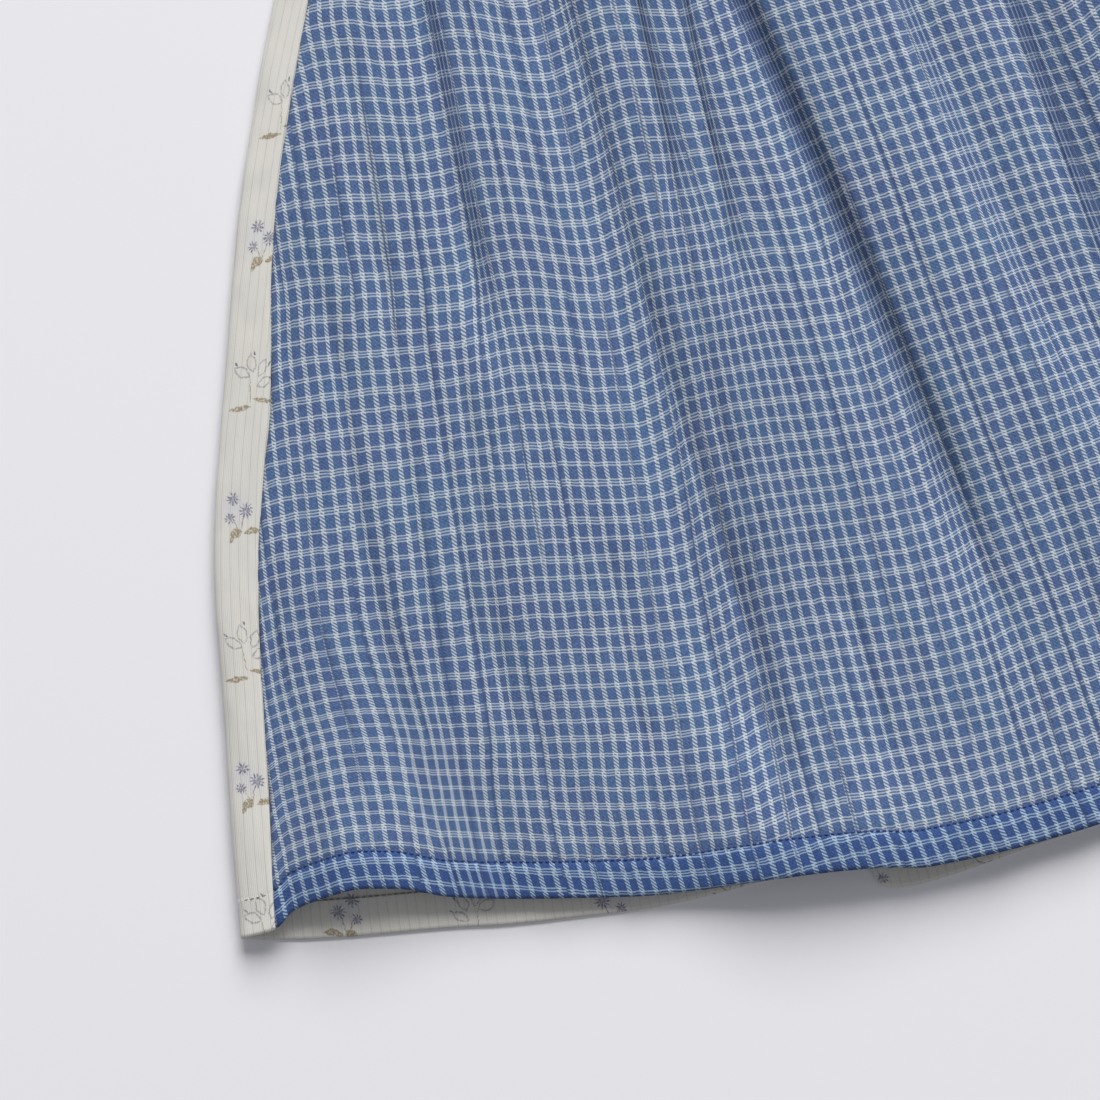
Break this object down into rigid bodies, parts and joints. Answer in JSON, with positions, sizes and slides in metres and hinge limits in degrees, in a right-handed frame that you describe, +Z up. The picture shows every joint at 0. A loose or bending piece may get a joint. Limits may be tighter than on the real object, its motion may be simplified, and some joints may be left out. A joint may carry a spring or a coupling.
{
  "type": "gathered skirt laid flat",
  "caption": "Knee-length cotton skirt with an elasticated gathered waist, checked gauze front and flowered cream back, laid flat with soft folds and a turned hem.",
  "frame": {"origin": "on the flat underside of the back panel, on the skirt's middle line, level with the hem's side corners", "axes": "+X across the skirt to its right side seam as laid, +Y from hem to waist, +Z up from the surface it lies on"},
  "size_m": [0.7016, 0.5749, 0.0193],
  "materials": {
    "front_gauze": "blue crinkled cotton gauze with a white windowpane check",
    "back_cotton": "cream dobby-striped cotton with small sprigs"
  },
  "bodies": {
    "root": {"front_panel": "front_gauze", "back_panel": "back_cotton", "waistband_front": "front_gauze", "waistband_back": "back_cotton"}
  },
  "joints": []
}
